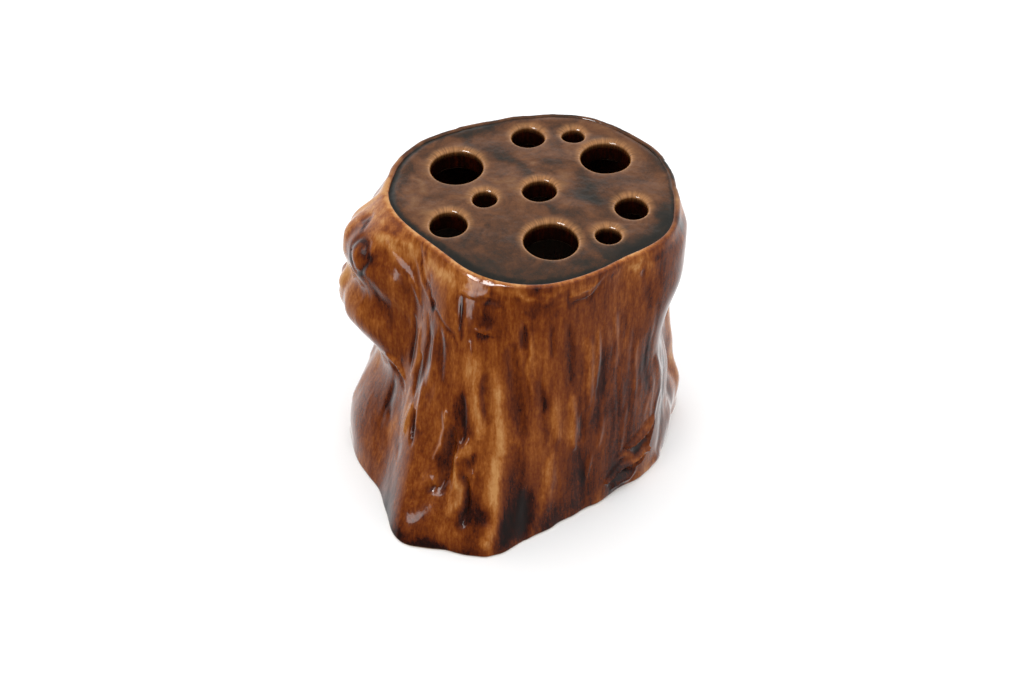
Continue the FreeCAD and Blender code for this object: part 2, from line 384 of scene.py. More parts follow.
def bark_fields():
    """Relief of the bark over the smooth wall, and its tone."""
    angles = ANGLE_GRID + grain(DRIFT_AROUND)
    heights = HEIGHT_GRID + grain(DRIFT_UP)
    relief = grain(RELIEF_GRAIN)
    tone = BARK_TONE + grain(TONE_GRAIN)
    for angle, height, half_width, half_height, rise, shade in PATCHES:
        aside = turn_between(angles, angle) / half_width
        patch = np.exp(-(aside ** 2 + ((heights - height) / half_height) ** 2))
        relief += rise * patch
        tone += shade * patch
    ragged_angles = angles + grain(RAGGED_AROUND)
    ragged_heights = heights + grain(RAGGED_UP)
    depth = RELIEF_SHARE * np.clip((HEIGHT_GRID + 2) / 6, 0, 1)
    for width, rise, shade, path in FRONT_STROKES + back_strokes() + between_strokes():
        relief += depth * rise * stroke(path, width, angles, heights)
        seen = shade * (DARK_SHARE if shade < 0 else 1)
        tone += seen * stroke(path, TONE_SPREAD * width, ragged_angles, ragged_heights)
    near_rim = 0.8 * np.clip((HEIGHT_GRID - TOP + 7) / 6, 0, 1)
    tone += near_rim * grain(RIM_GRAIN)
    tone = tone * (1 - near_rim) + near_rim * (rim_tone(ANGLE_GRID) + 0.25 * (tone - 0.5))
    calm = np.clip((TOP + 1 - HEIGHT_GRID) / 7, 0, 1)
    return relief * calm, np.clip(tone, 0.02, 0.98)


def rim_tone(angle):
    """Tone of the glaze on the rim: thin and pale at the front left, thicker behind."""
    return 0.34 + 0.34 * np.clip(0.5 + 0.8 * np.cos(np.radians(angle - RIM_PALE_AT)), 0, 1)


# ---- the CAD wall, as a field ----
def solid_tree(*nodes):
    """The surface of CAD nodes, to cast rays at."""
    points, faces = [], []
    for name in nodes:
        mesh = frame["nodes"][name].data
        start = len(points)
        points += [vertex.co.copy() for vertex in mesh.vertices]
        faces += [[start + i for i in polygon.vertices] for polygon in mesh.polygons]
    return BVHTree.FromPolygons(points, faces)


def smooth_wall():
    """Radius of the CAD's outer wall at every angle and height, as if its edges were not rounded."""
    tree = solid_tree("trunk_shell", "sawn_top")
    low, high = FOOT_ROUND + 0.2, TOP - RIM_ROUND - 0.1
    rows = np.flatnonzero((HEIGHTS > low) & (HEIGHTS < high))
    radii = np.zeros((ROW_COUNT, COLUMNS))
    reach = 90.0
    for column, angle in enumerate(np.radians(ANGLES)):
        outward = Vector((math.cos(angle), math.sin(angle), 0))
        for row in rows:
            centre = Vector((AXIS[0], AXIS[1], HEIGHTS[row])) * MM
            hit = tree.ray_cast(centre + outward * reach * MM, -outward)[0]
            radii[row, column] = (hit - centre).length / MM
    first, last, run = rows[0], rows[-1], 6
    slope_low = (radii[first + run] - radii[first]) / run
    slope_high = (radii[last] - radii[last - run]) / run
    for row in range(first):
        radii[row] = radii[first] - slope_low * (first - row)
    for row in range(last + 1, ROW_COUNT):
        radii[row] = radii[last] + slope_high * (row - last)
    return blur(radii, 0.8, 0.8)


def grid_place(height):
    """The row of the grid below a height or heights, and how far it is to the next."""
    place = np.clip(np.asarray(height) / ROW_STEP, 0, ROW_COUNT - 1.001)
    low = place.astype(int)
    return low, place - low


def at_height(field, height):
    """A field over the bark, read all round at one height."""
    low, t = grid_place(height)
    return field[low] * (1 - t) + field[low + 1] * t


def at_columns(field, heights):
    """A field over the bark, read at one height in each column."""
    low, t = grid_place(heights)
    column = np.arange(COLUMNS)
    return field[low, column] * (1 - t) + field[low + 1, column] * t


def rows_between(low, high):
    """The grid's heights between two others, clear of both."""
    clear = 0.2
    return [height for height in HEIGHTS if low + clear < height < high - clear]


def from_axis(radii):
    """Places from the axis at one radius for each column."""
    turn = np.radians(ANGLES)
    return radii * np.cos(turn), radii * np.sin(turn)


def ring(radii, z):
    """Points at one radius for each column, and one height or one for each."""
    x, y = from_axis(radii)
    return lifted(x, y, z)


def lifted(x, y, z):
    """Points at places from the axis, and one height or one for each."""
    return np.stack([AXIS[0] + x, AXIS[1] + y, np.broadcast_to(z, x.shape)], 1)


# ---- meshes ----
class Surface:
    """A mesh as it is put together: points with a value of each attribute, and faces."""

    def __init__(self, **defaults):
        self.defaults = defaults
        self.values = {key: [] for key in defaults}
        self.points, self.faces = [], []
        self.count = 0

    def add(self, points, **given):
        """Adds points, and returns the index of the first. Values not given are the defaults."""
        size = len(points)
        for key, default in self.defaults.items():
            shape = (size, *np.shape(default))
            self.values[key].append(np.broadcast_to(given.get(key, default), shape))
        self.points.append(points)
        self.count += size
        return self.count - size

    def build(self, name, material):
        """Makes the object, and puts it into the scene."""
        mesh = bpy.data.meshes.new(name)
        mesh.from_pydata((np.concatenate(self.points) * MM).tolist(), [], self.faces)
        for key, rows in self.values.items():
            values = np.concatenate(rows).astype(np.float32)
            kind, field = ("FLOAT_VECTOR", "vector") if values.ndim == 2 else ("FLOAT", "value")
            mesh.attributes.new(key, kind, "POINT").data.foreach_set(field, values.ravel())
        mesh.materials.append(material)
        mesh.shade_smooth()
        mesh.update()
        mesh.set_sharp_from_angle(angle=math.radians(SHARP_ANGLE))
        return linked(bpy.data.objects.new(name, mesh))


def linked(thing):
    """Puts an object into the scene."""
    bpy.context.scene.collection.objects.link(thing)
    return thing


def strip(first, second, count):
    """Faces between two closed rows of points, by the index that each row starts at."""
    faces = []
    for i in range(count):
        after = (i + 1) % count
        faces.append([first + i, first + after, second + after, second + i])
    return faces


def quarter(steps):
    """A quarter turn in even steps, from 0 to 90 degrees, as cosines and sines."""
    turns = [math.pi / 2 * step / steps for step in range(steps + 1)]
    return [(math.cos(turn), math.sin(turn)) for turn in turns]


def make_trunk(wall, tone, inner, material):
    """The bark wall: foot ring, foot rounding, bark, joint face, inside, ledge and floor recess."""
    trunk = Surface(tone=0.5, bare=0.0)
    seat = at_height(inner, FLOOR_TOP) + FLOOR_SEAT
    foot = at_height(wall, 0) - FOOT_ROUND
    for share in (0.0, 0.33, 0.67, 1.0):
        trunk.add(ring(seat + (foot - seat) * share, 0.0), bare=1.0)
    for cosine, sine in quarter(5)[1:]:
        height = FOOT_ROUND * (1 - cosine)
        radius = at_height(wall, height) - FOOT_ROUND * (1 - sine)
        unglazed = 1.0 if height < 0.5 else 0.0
        trunk.add(ring(radius, height), tone=at_height(tone, height), bare=unglazed)
    for height in rows_between(FOOT_ROUND, JOINT) + [JOINT]:
        trunk.add(ring(at_height(wall, height), height), tone=at_height(tone, height))
    top_inner = at_height(inner, JOINT)
    # the joint face and the inside get dark tones, down to nearly black: partly dark glaze, partly painted
    # shade of the hollow seen through the stem holes
    trunk.add(ring(0.5 * (at_height(wall, JOINT) + top_inner), JOINT), tone=0.2)
    trunk.add(ring(top_inner, JOINT), tone=0.1)
    for height in np.linspace(JOINT, FLOOR_TOP, 22)[1:]:
        trunk.add(ring(at_height(inner, height), height), tone=0.05)
    trunk.add(ring(seat, FLOOR_TOP), tone=0.3)
    for height in (0.66 * FLOOR_TOP, 0.33 * FLOOR_TOP):
        trunk.add(ring(seat, height), bare=1.0)
    row_count = len(trunk.points)
    for row in range(row_count):
        trunk.faces += strip(row * COLUMNS, (row + 1) % row_count * COLUMNS, COLUMNS)
    return trunk.build("bark_trunk", material)


# ---- the shape of the sawn face and its rim ----
def front_share(angle):
    """1 round the front of the rim, where the bark's glaze covers it, and 0 behind."""
    return np.clip(0.5 + 1.3 * np.cos(np.radians(angle - BARK_GLAZE_AT)), 0, 1)


def towards(angle, middle, power=1.0):
    """1 at an angle, fading to 0 on the opposite side."""
    return (0.5 + 0.5 * np.cos(np.radians(angle - middle))) ** power


def inward_of(x, y, outline):
    """Angle of places from the trunk's axis, and how far they are inside an outline of radii."""
    angle = np.degrees(np.arctan2(y, x)) % 360
    limit = np.interp(angle, np.append(ANGLES, 360), np.append(outline, outline[0]))
    return angle, limit - np.hypot(x, y)


def face_height(x, y, rim_inside):
    """Height of the sawn face at places from the trunk's axis: gentle waves, and its gutter."""
    angle, inward = inward_of(x, y, rim_inside)
    inward = np.maximum(inward, 0)
    front = towards(angle, GUTTER_DEEP_AT, 2)
    behind = 1 - front_share(angle)
    gutter = (0.3 + 0.55 * front - 0.2 * behind) / (1 + (inward / (1.0 + 0.8 * front)) ** 6)
    gutter -= 0.55 * behind * np.exp(-(inward / 3.0) ** 2)
    gutter += 0.35 * towards(angle, SHADED_DISH_AT, 6) * np.exp(-(inward / 4.0) ** 2)
    waves = 0.07 * np.sin(x / 4.1 + 0.8 * np.sin(y / 5.3))
    waves += 0.06 * np.sin(y / 3.7 + 1.1 * np.sin(x / 6.1) + 2)
    waves += 0.04 * np.sin((x + y) / 2.3 + 1) * np.sin((x - 0.6 * y) / 3.1)
    return FACE - gutter + waves * np.clip(inward / 2, 0, 1)


def face_tone(x, y, rim_inside):
    """Tone of the sawn face: drifting clouds, a darker front, which is painted reflection, and dark in the
    gutter, partly pooled glaze and partly painted shade.
    """
    angle, inward = inward_of(x, y, rim_inside)
    inward = np.maximum(inward, 0)
    tone = np.full(x.shape, FACE_TONE)
    drifted_x = x + 1.6 * np.sin(y / 3.3 + 1) + 0.8 * np.sin(y / 1.3)
    drifted_y = y + 1.4 * np.sin(x / 3.9) + 0.7 * np.sin(x / 1.5 + 2)
    for cloud_x, cloud_y, half_width, half_depth, turn, shade in CLOUDS:
        cosine, sine = math.cos(math.radians(turn)), math.sin(math.radians(turn))
        dx, dy = drifted_x - cloud_x, drifted_y - cloud_y
        u = (dx * cosine + dy * sine) / half_width
        v = (dy * cosine - dx * sine) / half_depth
        tone += shade * np.exp(-(u * u + v * v))
    # dark in the gutter and in the dish to the right: partly pooled glaze, partly painted shade
    reach = 0.8 + 1.6 * towards(angle, GUTTER_DEEP_AT, 3)
    tone -= (0.04 + 0.63 * towards(angle, GUTTER_DEEP_AT)) * np.exp(-(inward / reach) ** 4)
    tone -= 0.26 * towards(angle, SHADED_DISH_AT, 8) * np.exp(-(inward / 4.5) ** 2)
    return np.clip(tone, 0, 1)


def rim_profile():
    """Rows over the rim's rounding, from bark to crest: how far in from the bark, how far below the
    crest, and the sine of the turn, which goes from 0 to 1."""
    worn = np.exp(-(turn_between(ANGLES, RIM_WORN_AT) / RIM_WORN_REACH) ** 4)
    size = RIM_ROUND + RIM_WORN * worn
    flat = 0.8 * worn
    steps = quarter(6)
    for step, (cosine, sine) in enumerate(steps):
        even = step / (len(steps) - 1)
        inward = size * ((1 - cosine) * (1 - flat) + even * flat)
        below = size * ((1 - sine) * (1 - flat) + (1 - even) * flat)
        yield inward, below, sine


# ---- the stem holes ----
def stem_holes():
    """Place from the trunk's axis and radius of every stem hole, from the frame's mounts."""
    holes = []
    for mount in frame["record"]["mounts"]:
        if mount["kind"] == "bore":
            x, y = np.array(mount["pos_m"][:2]) / MM - AXIS
            holes.append((x, y, mount["dims"]["r_mm"]))
    return holes


def lip_reach(x, y, holes):
    """How far the pale lip of the nearest hole reaches over the face: thin glaze, made paler with painted
    light on the far side, where the lip faces the front light.
    """
    reach = np.zeros(x.shape)
    for hole_x, hole_y, radius in holes:
        distance = np.hypot(x - hole_x, y - hole_y)
        away = np.maximum(distance - radius - LIP, 0)
        far = 0.5 + 0.5 * (y - hole_y) / distance
        pale = (0.15 + 0.65 * far) * np.exp(-(away / (0.3 + 0.75 * far)) ** 2)
        reach = np.maximum(reach, pale)
    return reach


def streak_round(number, radius, cosine, sine):
    """Coordinates that change only round a hole, for streaks that run into it."""
    spread = 2.2 * radius
    return np.stack([spread * cosine, spread * sine, np.full(len(cosine), 9.0 * number)], 1)


def streak_at(x, y, holes):
    """The streak coordinates of the hole nearest to each place."""
    best = np.full(x.shape, np.inf)
    streak = np.zeros((len(x), 3))
    for number, (hole_x, hole_y, radius) in enumerate(holes):
        distance = np.hypot(x - hole_x, y - hole_y)
        nearer = distance - radius < best
        best = np.where(nearer, distance - radius, best)
        own = streak_round(number, radius, (x - hole_x) / distance, (y - hole_y) / distance)
        streak = np.where(nearer[:, None], own, streak)
    return streak


def hole_rows(face, far):
    """Rows of a hole, from its lip down: how far out from the bore, height, and how pale."""
    # how pale each row of the lip is: thin glaze on its edge, with a painted highlight along the rounding,
    # and paler on the far side, which faces the front light
    thin_glaze_and_sheen = (0.12 + 0.6 * far, 0.4 + 0.5 * far, 1.0, 1.1, 1.0, 0.75, 0.35)
    for (cosine, sine), pale in zip(quarter(6), thin_glaze_and_sheen):
        yield LIP * (1 - sine), face - LIP * (1 - cosine), pale
    for share, pale in ((0.1, 0.15), (0.25, 0.0), (0.5, 0.0), (0.75, 0.0), (1.0, 0.0)):
        yield 0.0, face + (JOINT + LIP_BELOW - face + LIP) * share - LIP, pale
    for cosine, sine in quarter(3)[1:]:
        yield LIP_BELOW * (1 - cosine), JOINT + LIP_BELOW * (1 - sine), 0.0


def add_hole(lid, number, hole, rim_inside):
    """Adds a stem hole, and returns the loops at its lip and its lower edge."""
    x, y, radius = hole
    size = int(2 * math.pi * (radius + LIP) / LIP_SPACING)
    turn = 2 * np.pi * np.arange(size) / size
    cosines, sines = np.cos(turn), np.sin(turn)
    wobble = 0.10 * np.sin(2 * turn + 1.7 * number) + 0.06 * np.sin(3 * turn + 2.9 * number)
    streak = streak_round(number, radius, cosines, sines)
    edge = radius + LIP + wobble
    face = face_height(x + edge * cosines, y + edge * sines, rim_inside)
    loops = []
    for row, (out, height, pale) in enumerate(hole_rows(face, 0.5 + 0.5 * sines)):
        spread = radius + out + wobble
        places = np.stack([x + spread * cosines, y + spread * sines], 1)
        # down the bore the tone halves at each row: painted shade deepening into the hole, over dark red
        # glaze
        below = max(row - 5, 0)
        on_face, shade = (0.0, 0.36 * 0.5 ** below) if below else (1.0, 0.5)
        if row == 0:
            shade = face_tone(places[:, 0], places[:, 1], rim_inside)
        points = lifted(places[:, 0], places[:, 1], height)
        start = lid.add(points, tone=shade, face=on_face, lip=pale, streak=streak)
        loops.append((start, places))
    for (first, _), (second, _) in zip(loops, loops[1:]):
        lid.faces += strip(first, second, size)
    return loops[0], loops[-1]


# ---- the lid ----
def inside_points(outline, holes, spacing):
    """Places on a triangular net inside an outline of radii, clear of the holes' lips."""
    rng = np.random.default_rng(5)
    reach = 60.0
    rows = []
    for row, y in enumerate(np.arange(-reach, reach, spacing * math.sqrt(3) / 2)):
        xs = np.arange(-reach, reach, spacing) + (spacing / 2 if row % 2 else 0)
        rows.append(np.stack([xs, np.full(len(xs), y)], 1))
    places = np.concatenate(rows)
    places += rng.uniform(-0.12, 0.12, places.shape) * spacing
    x, y = places[:, 0], places[:, 1]
    keep = inward_of(x, y, outline)[1] > 0.7 * spacing
    for hole_x, hole_y, radius in holes:
        keep &= np.hypot(x - hole_x, y - hole_y) > radius + LIP + 0.6 * spacing
    return places[keep]


def net(loops, free_start, free_places):
    """Triangles between the first loop, an outline, and the others, which are holes, through
    free points. A loop is the index that its points start at, and their places."""
    flat = np.concatenate([places for _, places in loops] + [free_places])
    edges, index_of = [], []
    owner = np.full(len(flat), -1)
    for number, (first, places) in enumerate(loops):
        start, count = len(index_of), len(places)
        edges += [(start + i, start + (i + 1) % count) for i in range(count)]
        owner[start:start + count] = number
        index_of += range(first, first + count)
    index_of += range(free_start, free_start + len(free_places))
    result = delaunay_2d_cdt([Vector(place) for place in flat.tolist()], edges, [], 1, 1e-5)
    original = [ids[0] for ids in result[3]]
    triangles = []
    for triangle in result[2]:
        corners = [original[i] for i in triangle]
        owners = {owner[i] for i in corners}
        if len(owners) > 1 or owners <= {-1, 0}:
            triangles.append([index_of[i] for i in corners])
    return triangles


def add_edge(lid, wall, tone, rim_inside):
    """Adds the lid's bark, rim and gutter, and returns where the first and last rows start."""
    behind = 1 - front_share(ANGLES)
    crest = at_height(wall, TOP)
    crest_tone = at_height(tone, TOP - 2)
    rows = []
    for height in [JOINT] + rows_between(JOINT, TOP - RIM_ROUND - RIM_WORN):
        rows.append(lid.add(ring(at_height(wall, height), height), tone=at_height(tone, height)))
    for inward, below, sine in rim_profile():
        paler_in_front = (0.26 * sine ** 5 - 0.06) * (1 - behind)
        shade = np.clip(crest_tone + paler_in_front + 0.10 * (sine - 0.6) * behind, 0, 1)
        radius = at_columns(wall, TOP - below) - inward
        rows.append(lid.add(ring(radius, TOP - below), tone=shade, face=behind * sine))
    inner_tone = np.clip(crest_tone + 0.20, 0, 1) * (1 - behind) + 0.45 * behind
    for inward, below in ((1.3, 0.03), (1.5, 0.2), (RIM_WIDTH, 0.5)):
        radius = crest - np.maximum(inward, RIM_ROUND + RIM_WORN)
        # darker down the rim's inner wall into the gutter: partly pooled glaze, partly painted shade
        shade = inner_tone * (1 - 0.6 * below)
        rows.append(lid.add(ring(radius, TOP - below), tone=shade, face=behind))
    for inward in (0.1, 0.45, 0.9, GUTTER_REACH):
        x, y = from_axis(rim_inside - inward)
        points = lifted(x, y, face_height(x, y, rim_inside))
        rows.append(lid.add(points, tone=face_tone(x, y, rim_inside), face=1.0))
    for first, second in zip(rows, rows[1:]):
        lid.faces += strip(first, second, COLUMNS)
    return rows[0], rows[-1]


def add_face(lid, edge_start, lips, holes, rim_inside):
    """Adds the sawn face, between the gutter and the lips."""
    outline = rim_inside - GUTTER_REACH
    free = inside_points(outline, holes, FACE_SPACING)
    x, y = free[:, 0], free[:, 1]
    start = lid.add(
        lifted(x, y, face_height(x, y, rim_inside)), tone=face_tone(x, y, rim_inside), face=1.0,
        lip=lip_reach(x, y, holes), streak=streak_at(x, y, holes))
    edge = (edge_start, np.stack(from_axis(outline), 1))
    lid.faces += net([edge] + lips, start, free)


def add_underside(lid, edge_start, lower_edges, holes, outline):
    """Adds the flat face that is luted to the trunk."""
    free = inside_points(outline, holes, UNDERSIDE_SPACING)
    # a dark tone: partly dark glaze, partly painted shade of the hollow
    start = lid.add(lifted(free[:, 0], free[:, 1], JOINT), tone=0.1, face=1.0)
    edge = (edge_start, np.stack(from_axis(outline), 1))
    lid.faces += [triangle[::-1] for triangle in net([edge] + lower_edges, start, free)]


def make_sawn_top(wall, tone, material):
    """The lid: bark band, rim, gutter, pierced face, hole walls and underside, closed."""
    lid = Surface(tone=0.5, face=0.0, lip=0.0, streak=(0.0, 0.0, 0.0))
    holes = stem_holes()
    rim_inside = at_height(wall, TOP) - RIM_WIDTH
    joint_start, gutter_start = add_edge(lid, wall, tone, rim_inside)
    loops = [add_hole(lid, number, hole, rim_inside) for number, hole in enumerate(holes)]
    add_face(lid, gutter_start, [lip for lip, _ in loops], holes, rim_inside)
    add_underside(lid, joint_start, [lower for _, lower in loops], holes, at_height(wall, JOINT))
    return lid.build("sawn_lid", material)


# ---- the floor disc ----
def make_floor(inner, material):
    """The floor disc, let into the foot: a slightly uneven plate of bare clay."""
    gap, sag, sunk_low, sunk_top = 0.05, 0.12, 0.25, 0.1
    outline = at_height(inner, FLOOR_TOP) + FLOOR_SEAT - gap
    shares = (0.12, 0.3, 0.5, 0.7, 0.88, 0.97)
    turn = np.radians(ANGLES)

    def waves(share):
        lobes = np.sin(3 * turn + 9 * share) + 0.5 * np.sin(5 * turn - 4 * share)
        return sag * share * (1 - share) * lobes

    disc = Surface()
    for share in shares:
        disc.add(ring(outline * share, FLOOR_LOW + sunk_low + waves(share)))
    disc.add(ring(outline - 0.3, FLOOR_LOW + 0.06))
    disc.add(ring(outline, FLOOR_LOW + 0.5))
    disc.add(ring(outline, FLOOR_TOP - 0.4))
    disc.add(ring(outline - 0.4, FLOOR_TOP))
    for share in reversed(shares):
        disc.add(ring(outline * share, FLOOR_TOP - sunk_top + 0.5 * waves(share)))
    last = disc.count - COLUMNS
    for first in range(0, last, COLUMNS):
        disc.faces += strip(first, first + COLUMNS, COLUMNS)
    low_centre = disc.add(np.array([[*AXIS, FLOOR_LOW + sunk_low]]))
    high_centre = disc.add(np.array([[*AXIS, FLOOR_TOP - sunk_top]]))
    disc.faces += [[(i + 1) % COLUMNS, i, low_centre] for i in range(COLUMNS)]
    disc.faces += [[last + i, last + (i + 1) % COLUMNS, high_centre] for i in range(COLUMNS)]
    return disc.build("clay_floor", material)


# ---- materials ----
def new_material(name):
    """A material, its nodes and links, and its shader."""
    material = bpy.data.materials.new(name)
    material.use_nodes = True
    nodes, links = material.node_tree.nodes, material.node_tree.links
    return material, nodes, links, nodes["Principled BSDF"]


def add_node(nodes, kind, **settings):
    """A node with values set on its sockets, or on itself."""
    node = nodes.new(kind)
    for key, value in settings.items():
        if key in node.inputs:
            node.inputs[key].default_value = value
        else:
            setattr(node, key, value)
    return node


def attribute(nodes, name, vector=False):
    """A mesh attribute, as a socket."""
    node = add_node(nodes, "ShaderNodeAttribute", attribute_name=name)
    return node.outputs["Vector" if vector else "Fac"]


def ramp(nodes, links, value, stops):
    """A colour ramp, from places and their colours."""
    node = nodes.new("ShaderNodeValToRGB")
    elements = node.color_ramp.elements
    while len(elements) < len(stops):
        elements.new(0.5)
    for element, (place, colour) in zip(elements, stops):
        element.position = place
        element.color = (*colour, 1)
    links.new(value, node.inputs[0])
    return node.outputs[0]


def calculate(nodes, links, operation, first, second, third=None, clamp=False):
    """A maths node on sockets or plain numbers."""
    node = nodes.new("ShaderNodeMath")
    node.operation = operation
    node.use_clamp = clamp
    for index, value in enumerate((first, second, third)):
        if value is None:
            continue
        if isinstance(value, (int, float)):
            node.inputs[index].default_value = value
        else:
            links.new(value, node.inputs[index])
    return node.outputs[0]


def speckle(nodes, links, scale, detail, roughness, stretch, distortion=0.0):
    """Noise in the object's own space, stretched along Z, centred on zero."""
    coordinates = nodes.new("ShaderNodeTexCoord")
    mapping = add_node(nodes, "ShaderNodeMapping", Scale=(1, 1, 1 / stretch))
    links.new(coordinates.outputs["Object"], mapping.inputs["Vector"])
    noise = add_node(
        nodes, "ShaderNodeTexNoise", Scale=scale, Detail=detail, Roughness=roughness, Distortion=distortion)
    links.new(mapping.outputs["Vector"], noise.inputs["Vector"])
    return calculate(nodes, links, "SUBTRACT", noise.outputs["Fac"], 0.5)


def mix_colour(nodes, links, factor, first, second, blend="MIX"):
    """A mix of two colours, each a socket or a plain colour."""
    node = nodes.new("ShaderNodeMix")
    node.data_type = "RGBA"
    node.blend_type = blend
    node.clamp_factor = True
    for index, value in ((0, factor), (6, first), (7, second)):
        socket = node.inputs[index]
        if isinstance(value, tuple):
            socket.default_value = (*value, 1)
        elif isinstance(value, (int, float)):
            socket.default_value = value
        else:
            links.new(value, socket)
    return node.outputs[2]


# Colours of the glaze and the clay, from dark to pale.
BARK_STOPS = [
    (0.00, (0.008, 0.002, 0.001)), (0.14, (0.030, 0.004, 0.001)), (0.30, (0.084, 0.014, 0.001)),
    (0.46, (0.150, 0.030, 0.002)), (0.60, (0.226, 0.057, 0.006)), (0.76, (0.330, 0.105, 0.018)),
    (1.00, (0.500, 0.235, 0.075))]
FACE_STOPS = [
    (0.00, (0.004, 0.004, 0.002)), (0.18, (0.016, 0.009, 0.004)), (0.36, (0.048, 0.017, 0.005)),
    (0.55, (0.106, 0.038, 0.012)), (0.75, (0.160, 0.070, 0.025)), (1.00, (0.240, 0.125, 0.052))]
FOOT_STOPS = [(0.0, (0.42, 0.29, 0.18)), (0.3, (0.60, 0.45, 0.31))]
CLAY_STOPS = [(0.0, (0.40, 0.27, 0.17)), (0.25, (0.60, 0.45, 0.31))]
# colour of the stem holes' pale lips, partly thin glaze and partly painted highlight
PALE_LIP = (0.42, 0.195, 0.070)


def layered(nodes, links, tone, layers):
    """A tone with layers of noise added: scale, detail, roughness, stretch, distortion, strength."""
    for *settings, strength in layers:
        tone = calculate(nodes, links, "MULTIPLY_ADD", speckle(nodes, links, *settings), strength, tone)
    return tone


def bark_colour(nodes, links, tone):
    """Glaze over bark: the tone with streaks, fibres, mottling and fine specks of its own."""
    layers = [
        (320, 3, 0.6, 8, 0.0, 0.26), (950, 2, 0.6, 9, 0.3, 0.42),
        (190, 4, 0.65, 2.0, 0.6, 0.42), (1500, 3, 0.7, 2.5, 0.0, 0.46)]
    return ramp(nodes, links, layered(nodes, links, tone, layers), BARK_STOPS)


def rough_normal(nodes, links, shader, height, strength, depth):
    """Fine unevenness of a surface, from a noise."""
    bump = add_node(nodes, "ShaderNodeBump", Strength=strength, Distance=depth)
    links.new(height, bump.inputs["Height"])
    links.new(bump.outputs["Normal"], shader.inputs["Normal"])


def glaze_surface(nodes, links, shader, depth):
    """Gloss and fine unevenness shared by every glazed surface."""
    shader.inputs["IOR"].default_value = 1.5
    shader.inputs["Specular IOR Level"].default_value = 0.5
    gloss = speckle(nodes, links, 700, 3, 0.6, 1.5)
    roughness = calculate(nodes, links, "MULTIPLY_ADD", gloss, 0.10, 0.12)
    links.new(roughness, shader.inputs["Roughness"])
    rough_normal(nodes, links, shader, speckle(nodes, links, 330, 2, 0.5, 2.5), 0.5, depth)


def bark_glaze():
    """The trunk's glaze, and the bare clay of its foot ring."""
    material, nodes, links, shader = new_material("bark_glaze")
    colour = bark_colour(nodes, links, attribute(nodes, "tone"))
    clay = ramp(nodes, links, speckle(nodes, links, 900, 4, 0.7, 1), FOOT_STOPS)
    both = mix_colour(nodes, links, attribute(nodes, "bare"), colour, clay)
    links.new(both, shader.inputs["Base Color"])
    glaze_surface(nodes, links, shader, 0.3 * MM)
    return material


def face_glaze():
    """The lid's glaze: bark colours outside and on the rim, clouded brown on the face."""
    material, nodes, links, shader = new_material("face_glaze")
    tone = attribute(nodes, "tone")
    bark = bark_colour(nodes, links, tone)
    layers = [(95, 4, 0.55, 1, 1.6, 0.75), (420, 4, 0.65, 1, 0.5, 0.30), (2200, 2, 0.6, 1, 0.0, 0.20)]
    face = ramp(nodes, links, layered(nodes, links, tone, layers), FACE_STOPS)
    both = mix_colour(nodes, links, attribute(nodes, "face"), bark, face)
    # pale, streaked lips round the stem holes: thin glaze, with painted highlights on their rounding and
    # far side
    streaks = add_node(nodes, "ShaderNodeTexNoise", Scale=1.1, Detail=3, Roughness=0.65)
    links.new(attribute(nodes, "streak", vector=True), streaks.inputs["Vector"])
    strength = calculate(nodes, links, "MULTIPLY_ADD", streaks.outputs["Fac"], 2.0, -0.38)
    pale = calculate(nodes, links, "MULTIPLY", attribute(nodes, "lip"), strength, clamp=True)
    links.new(mix_colour(nodes, links, pale, both, PALE_LIP), shader.inputs["Base Color"])
    glaze_surface(nodes, links, shader, 0.25 * MM)
    return material


def bare_clay():
    """Unglazed fired clay."""
    material, nodes, links, shader = new_material("bare_clay")
    grit = speckle(nodes, links, 1100, 5, 0.7, 1)
    tone = calculate(nodes, links, "ADD", grit, 0.15)
    links.new(ramp(nodes, links, tone, CLAY_STOPS), shader.inputs["Base Color"])
    shader.inputs["Roughness"].default_value = 0.85
    rough_normal(nodes, links, shader, grit, 0.6, 0.2 * MM)
    return material


# ---- the stage ----
# Brightness of the studio by height, from straight below to straight above: in front, and behind.
SKY_FRONT = [(0.0, 0.07), (0.40, 0.09), (0.50, 0.22), (0.62, 0.45), (1.0, 0.55)]
SKY_BEHIND = [
    (0.0, 1.0), (0.35, 1.35), (0.52, 1.3), (0.70, 0.95), (0.785, 0.88), (0.825, 0.55), (1.0, 0.55)]
# How much of the brightness behind each direction gets, from the front to the back.
BEHIND = [(0.0, 0.0), (0.46, 0.0), (0.60, 0.40), (0.78, 1.0)]
VEIL_RIGHT = 0.22                                 # added to the front's brightness, to the right
BEHIND_RIGHT = 0.055                              # how far the brightness behind comes round there

# The camera, from the foot of the trunk's axis.
CAMERA_PLACE = (-7.53, -313.5, 358.0)
CAMERA_DOWN = 45.26                               # how far it looks down from the horizontal


def make_camera():
    """A normal lens that looks down on the stump from the front."""
    data = bpy.data.cameras.new("camera")
    data.lens = 50
    data.sensor_width = 36
    camera = linked(bpy.data.objects.new("camera", data))
    x, y, z = CAMERA_PLACE
    camera.location = Vector((AXIS[0] + x, AXIS[1] + y, z)) * MM
    camera.rotation_euler = (math.radians(90 - CAMERA_DOWN), 0, 0)
    bpy.context.scene.camera = camera


def soft_light(name, direction, distance, size, radiance, diffuse=True, glossy=True):
    """An area light that looks at the object, with a size in metres, a brightness, and the kinds
    of reflection that it makes."""
    width, height = size
    data = bpy.data.lights.new(name, "AREA")
    data.shape = "RECTANGLE"
    data.size, data.size_y = size
    data.energy = radiance * math.pi * width * height
    light = linked(bpy.data.objects.new(name, data))
    aim = Vector((0, 0, 0.06))
    light.location = aim + Vector(direction).normalized() * distance
    light.rotation_euler = (aim - light.location).to_track_quat("-Z", "Y").to_euler()
    light.visible_camera = False
    light.visible_diffuse = diffuse
    light.visible_glossy = glossy


